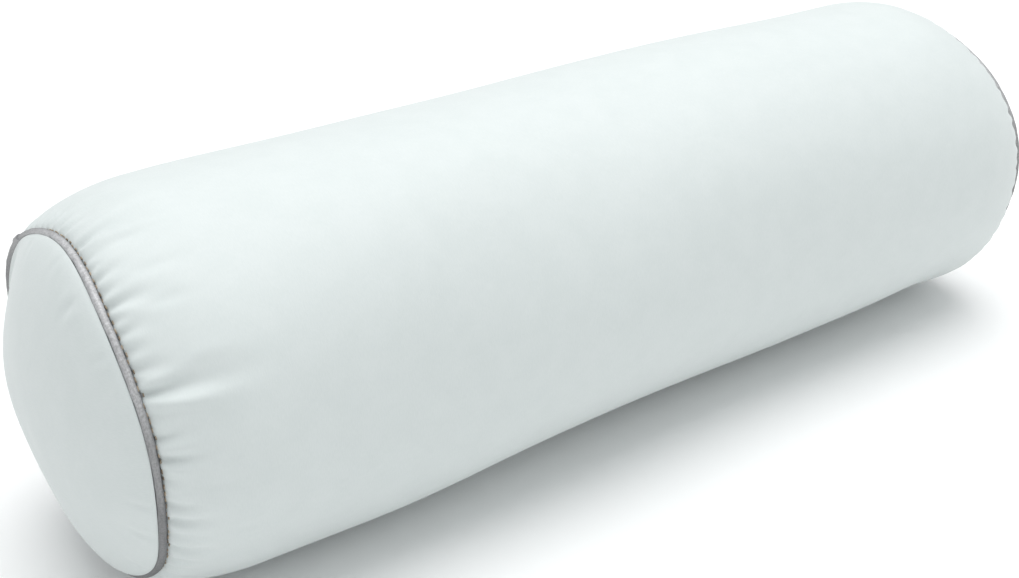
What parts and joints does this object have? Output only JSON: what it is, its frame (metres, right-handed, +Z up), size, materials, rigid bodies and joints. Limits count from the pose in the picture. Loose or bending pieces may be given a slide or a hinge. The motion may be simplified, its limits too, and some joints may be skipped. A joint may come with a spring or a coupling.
{
  "type": "bolster cushion",
  "caption": "Round bolster cushion: pale sateen cover with domed ends, grey satin piping and gathered end seams, zipped at the back over a foam-cored inner pillow.",
  "frame": {"origin": "middle of the flat resting face on the underside of the body", "axes": "+X along the bolster, +Y towards the zip side, +Z up"},
  "size_m": [0.538, 0.17, 0.1675],
  "materials": {
    "cover_cloth": "satin",
    "piping_satin": "satin",
    "filler_cord": "matte",
    "seam_thread": "satin",
    "white_thread": "satin",
    "zip_tape": "matte",
    "zip_coil": "satin",
    "zip_metal": "satin",
    "liner_cloth": "matte",
    "wadding": "matte",
    "foam": "matte"
  },
  "bodies": {
    "cover": {"body_panel": "cover_cloth", "end_panel_left": "cover_cloth", "end_panel_right": "cover_cloth", "piping_left": "piping_satin", "piping_right": "piping_satin", "piping_cord_left": "filler_cord", "piping_cord_right": "filler_cord", "end_stitches_left": "seam_thread", "end_stitches_right": "seam_thread", "zip_tape_upper": "zip_tape", "zip_tape_lower": "zip_tape", "zip_coil_upper": "zip_coil", "zip_coil_lower": "zip_coil", "zip_top_stops": "zip_metal", "zip_bottom_stop": "zip_metal", "zip_stitches": "white_thread", "liner_body": "liner_cloth", "liner_end_left": "liner_cloth", "liner_end_right": "liner_cloth", "liner_stitches": "white_thread", "wadding_wrap": "wadding", "wadding_pad_left": "wadding", "wadding_pad_right": "wadding", "foam_core": "foam"},
    "slider": {"zip_slider": "zip_metal"},
    "pull": {"zip_pull": "zip_metal"}
  },
  "joints": [
    {"name": "zip_slider_travel", "type": "slide", "parent": "cover", "child": "slider", "axis": [-1, 0, 0], "range_m": [0, 0.363], "deforming": ["zip_coil_upper", "zip_coil_lower"]},
    {"name": "zip_pull_flip", "type": "hinge", "parent": "slider", "child": "pull", "pos_m": [0.18215, 0.08027, 0.11824], "axis": [0, 0.4067, -0.9135], "range_deg": [0, 176]}
  ]
}
